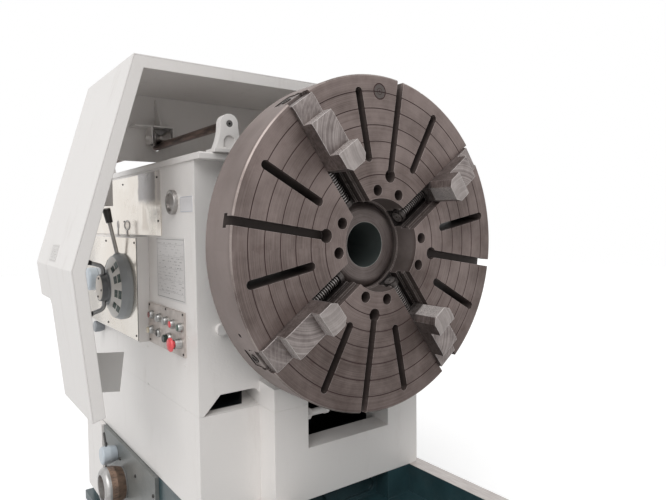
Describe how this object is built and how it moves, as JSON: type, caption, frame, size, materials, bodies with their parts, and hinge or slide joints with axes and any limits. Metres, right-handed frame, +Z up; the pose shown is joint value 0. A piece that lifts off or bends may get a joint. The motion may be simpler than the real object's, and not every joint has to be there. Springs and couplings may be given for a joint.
{
  "type": "engine lathe headstock end",
  "caption": "Headstock end of a heavy gap-bed engine lathe with a slotted four-jaw faceplate, sliding guard hood, gear-change dial and control panel.",
  "frame": {"origin": "on the floor, straight below the centre of the faceplate's front face", "axes": "+X along the spindle from the headstock towards the work, -Y the operator's side, +Z up"},
  "size_m": [2.3, 1.352, 1.798],
  "materials": {
    "white_paint": "satin off-white paint",
    "dark_paint": "gloss dark blue-green paint",
    "blue_paint": "satin blue-grey paint",
    "green_paint": "satin grey-green paint",
    "plate_iron": "turned and ground",
    "jaw_steel": "hardened and ground",
    "screw_steel": "oiled thread",
    "bright_steel": "brushed",
    "polished_sheet": "polished sheet",
    "rod_steel": "oiled",
    "black_grip": "moulded",
    "blue_knob": "moulded",
    "red_button": "moulded",
    "green_button": "moulded",
    "panel_face": "printed plate"
  },
  "bodies": {
    "machine": {"pedestal": "dark_paint", "gap_bed": "dark_paint", "headstock_base": "white_paint", "bed_head": "white_paint", "headstock_body": "white_paint", "headstock_feet": "white_paint", "headstock_lid": "white_paint", "bearing_cap": "white_paint", "guard_rods": "rod_steel", "rod_brackets_front": "white_paint", "rod_brackets_tail": "white_paint", "gear_cover": "polished_sheet", "front_panel": "polished_sheet", "sight_glass": "bright_steel", "button_panel": "panel_face", "pilot_lights": "bright_steel", "feed_box": "green_paint", "tail_cover": "white_paint"},
    "spindle": {"spindle": "screw_steel", "faceplate": "plate_iron", "screw_bearings": "screw_steel"},
    "jaw_1": {"jaw_1": "jaw_steel"},
    "screw_1": {"jaw_screw_1": "screw_steel"},
    "jaw_2": {"jaw_2": "jaw_steel"},
    "screw_2": {"jaw_screw_2": "screw_steel"},
    "jaw_3": {"jaw_3": "jaw_steel"},
    "screw_3": {"jaw_screw_3": "screw_steel"},
    "jaw_4": {"jaw_4": "jaw_steel"},
    "screw_4": {"jaw_screw_4": "screw_steel"},
    "guard": {"hood_shell": "white_paint", "hood_flange": "white_paint", "hood_end_wall": "white_paint", "roller_brackets": "white_paint"},
    "roller_front": {"guard_roller_front": "bright_steel"},
    "roller_back": {"guard_roller_back": "bright_steel"},
    "dial": {"dial_ring": "blue_paint", "dial_lever": "bright_steel"},
    "selector": {"selector_hub": "blue_paint", "hub_handles": "bright_steel"},
    "cup_knob": {"cup_knob": "blue_knob"},
    "low_knob": {"low_knob": "blue_knob"},
    "feed_knob": {"feed_knob": "bright_steel"},
    "feed_drum": {"feed_drum": "bright_steel"},
    "stop_button": {"stop_button": "red_button"},
    "push_button": {"push_button": "green_button"}
  },
  "joints": [
    {"name": "spindle_spin", "type": "hinge", "parent": "machine", "child": "spindle", "pos_m": [0, 0, 1.25], "axis": [1, 0, 0], "continuous": true},
    {"name": "jaw_1_slide", "type": "slide", "parent": "spindle", "child": "jaw_1", "axis": [0, 0.8085, 0.5885], "range_m": [-0.111, 0.024]},
    {"name": "screw_1_turn", "type": "hinge", "parent": "spindle", "child": "screw_1", "pos_m": [-0.062, 0.24255, 1.42655], "axis": [0, 0.8085, 0.5885], "range_deg": [-4997, 1082]},
    {"name": "jaw_2_slide", "type": "slide", "parent": "spindle", "child": "jaw_2", "axis": [0, 0.5885, -0.8085], "range_m": [-0.103, 0.032]},
    {"name": "screw_2_turn", "type": "hinge", "parent": "spindle", "child": "screw_2", "pos_m": [-0.062, 0.17655, 1.00745], "axis": [0, 0.5885, -0.8085], "range_deg": [-4637, 1442]},
    {"name": "jaw_3_slide", "type": "slide", "parent": "spindle", "child": "jaw_3", "axis": [0, -0.8085, -0.5885], "range_m": [-0.123, 0.012]},
    {"name": "screw_3_turn", "type": "hinge", "parent": "spindle", "child": "screw_3", "pos_m": [-0.062, -0.24255, 1.07345], "axis": [0, -0.8085, -0.5885], "range_deg": [-5537, 542]},
    {"name": "jaw_4_slide", "type": "slide", "parent": "spindle", "child": "jaw_4", "axis": [0, -0.5885, 0.8085], "range_m": [-0.12, 0.015]},
    {"name": "screw_4_turn", "type": "hinge", "parent": "spindle", "child": "screw_4", "pos_m": [-0.062, -0.17655, 1.49255], "axis": [0, -0.5885, 0.8085], "range_deg": [-5402, 677]},
    {"name": "guard_slide", "type": "slide", "parent": "machine", "child": "guard", "axis": [1, 0, 0], "range_m": [0, 0.5]},
    {"name": "roller_front_spin", "type": "hinge", "parent": "guard", "child": "roller_front", "pos_m": [-0.806, -0.378, 1.6346], "axis": [0, 1, 0], "range_deg": [-5, 2051.3]},
    {"name": "roller_back_spin", "type": "hinge", "parent": "guard", "child": "roller_back", "pos_m": [-0.806, 0.25, 1.6346], "axis": [0, 1, 0], "range_deg": [-5, 2051.3]},
    {"name": "dial_turn", "type": "hinge", "parent": "machine", "child": "dial", "pos_m": [-0.84, -0.56, 1.095], "axis": [0, -1, 0], "range_deg": [-60, 50]},
    {"name": "selector_turn", "type": "hinge", "parent": "machine", "child": "selector", "pos_m": [-0.84, -0.58, 1.095], "axis": [0, -1, 0], "range_deg": [-90, 90]},
    {"name": "cup_knob_turn", "type": "hinge", "parent": "machine", "child": "cup_knob", "pos_m": [-1.09, -0.53, 1.106], "axis": [0, -1, 0], "range_deg": [-90, 90]},
    {"name": "low_knob_turn", "type": "hinge", "parent": "machine", "child": "low_knob", "pos_m": [-1.295, -0.49, 0.88], "axis": [0, -1, 0], "range_deg": [-90, 90]},
    {"name": "feed_knob_turn", "type": "hinge", "parent": "machine", "child": "feed_knob", "pos_m": [-1.11, -0.51, 0.379], "axis": [0, -1, 0], "range_deg": [-90, 90]},
    {"name": "feed_drum_turn", "type": "hinge", "parent": "machine", "child": "feed_drum", "pos_m": [-1.015, -0.53, 0.29], "axis": [0, -1, 0], "continuous": true},
    {"name": "stop_button_press", "type": "slide", "parent": "machine", "child": "stop_button", "axis": [0, 1, 0], "range_m": [0, 0.006], "stiffness_N_per_m": 1500, "springref_m": -0.002},
    {"name": "push_button_press", "type": "slide", "parent": "machine", "child": "push_button", "axis": [0, 1, 0], "range_m": [0, 0.004], "stiffness_N_per_m": 600, "springref_m": -0.002}
  ],
  "couplings": [
    {"joint": "screw_1_turn", "follows": "jaw_1_slide", "rad_per_m": 785.4},
    {"joint": "screw_2_turn", "follows": "jaw_2_slide", "rad_per_m": 785.4},
    {"joint": "screw_3_turn", "follows": "jaw_3_slide", "rad_per_m": 785.4},
    {"joint": "screw_4_turn", "follows": "jaw_4_slide", "rad_per_m": 785.4},
    {"joint": "roller_front_spin", "follows": "guard_slide", "rad_per_m": 71.429},
    {"joint": "roller_back_spin", "follows": "guard_slide", "rad_per_m": 71.429}
  ]
}
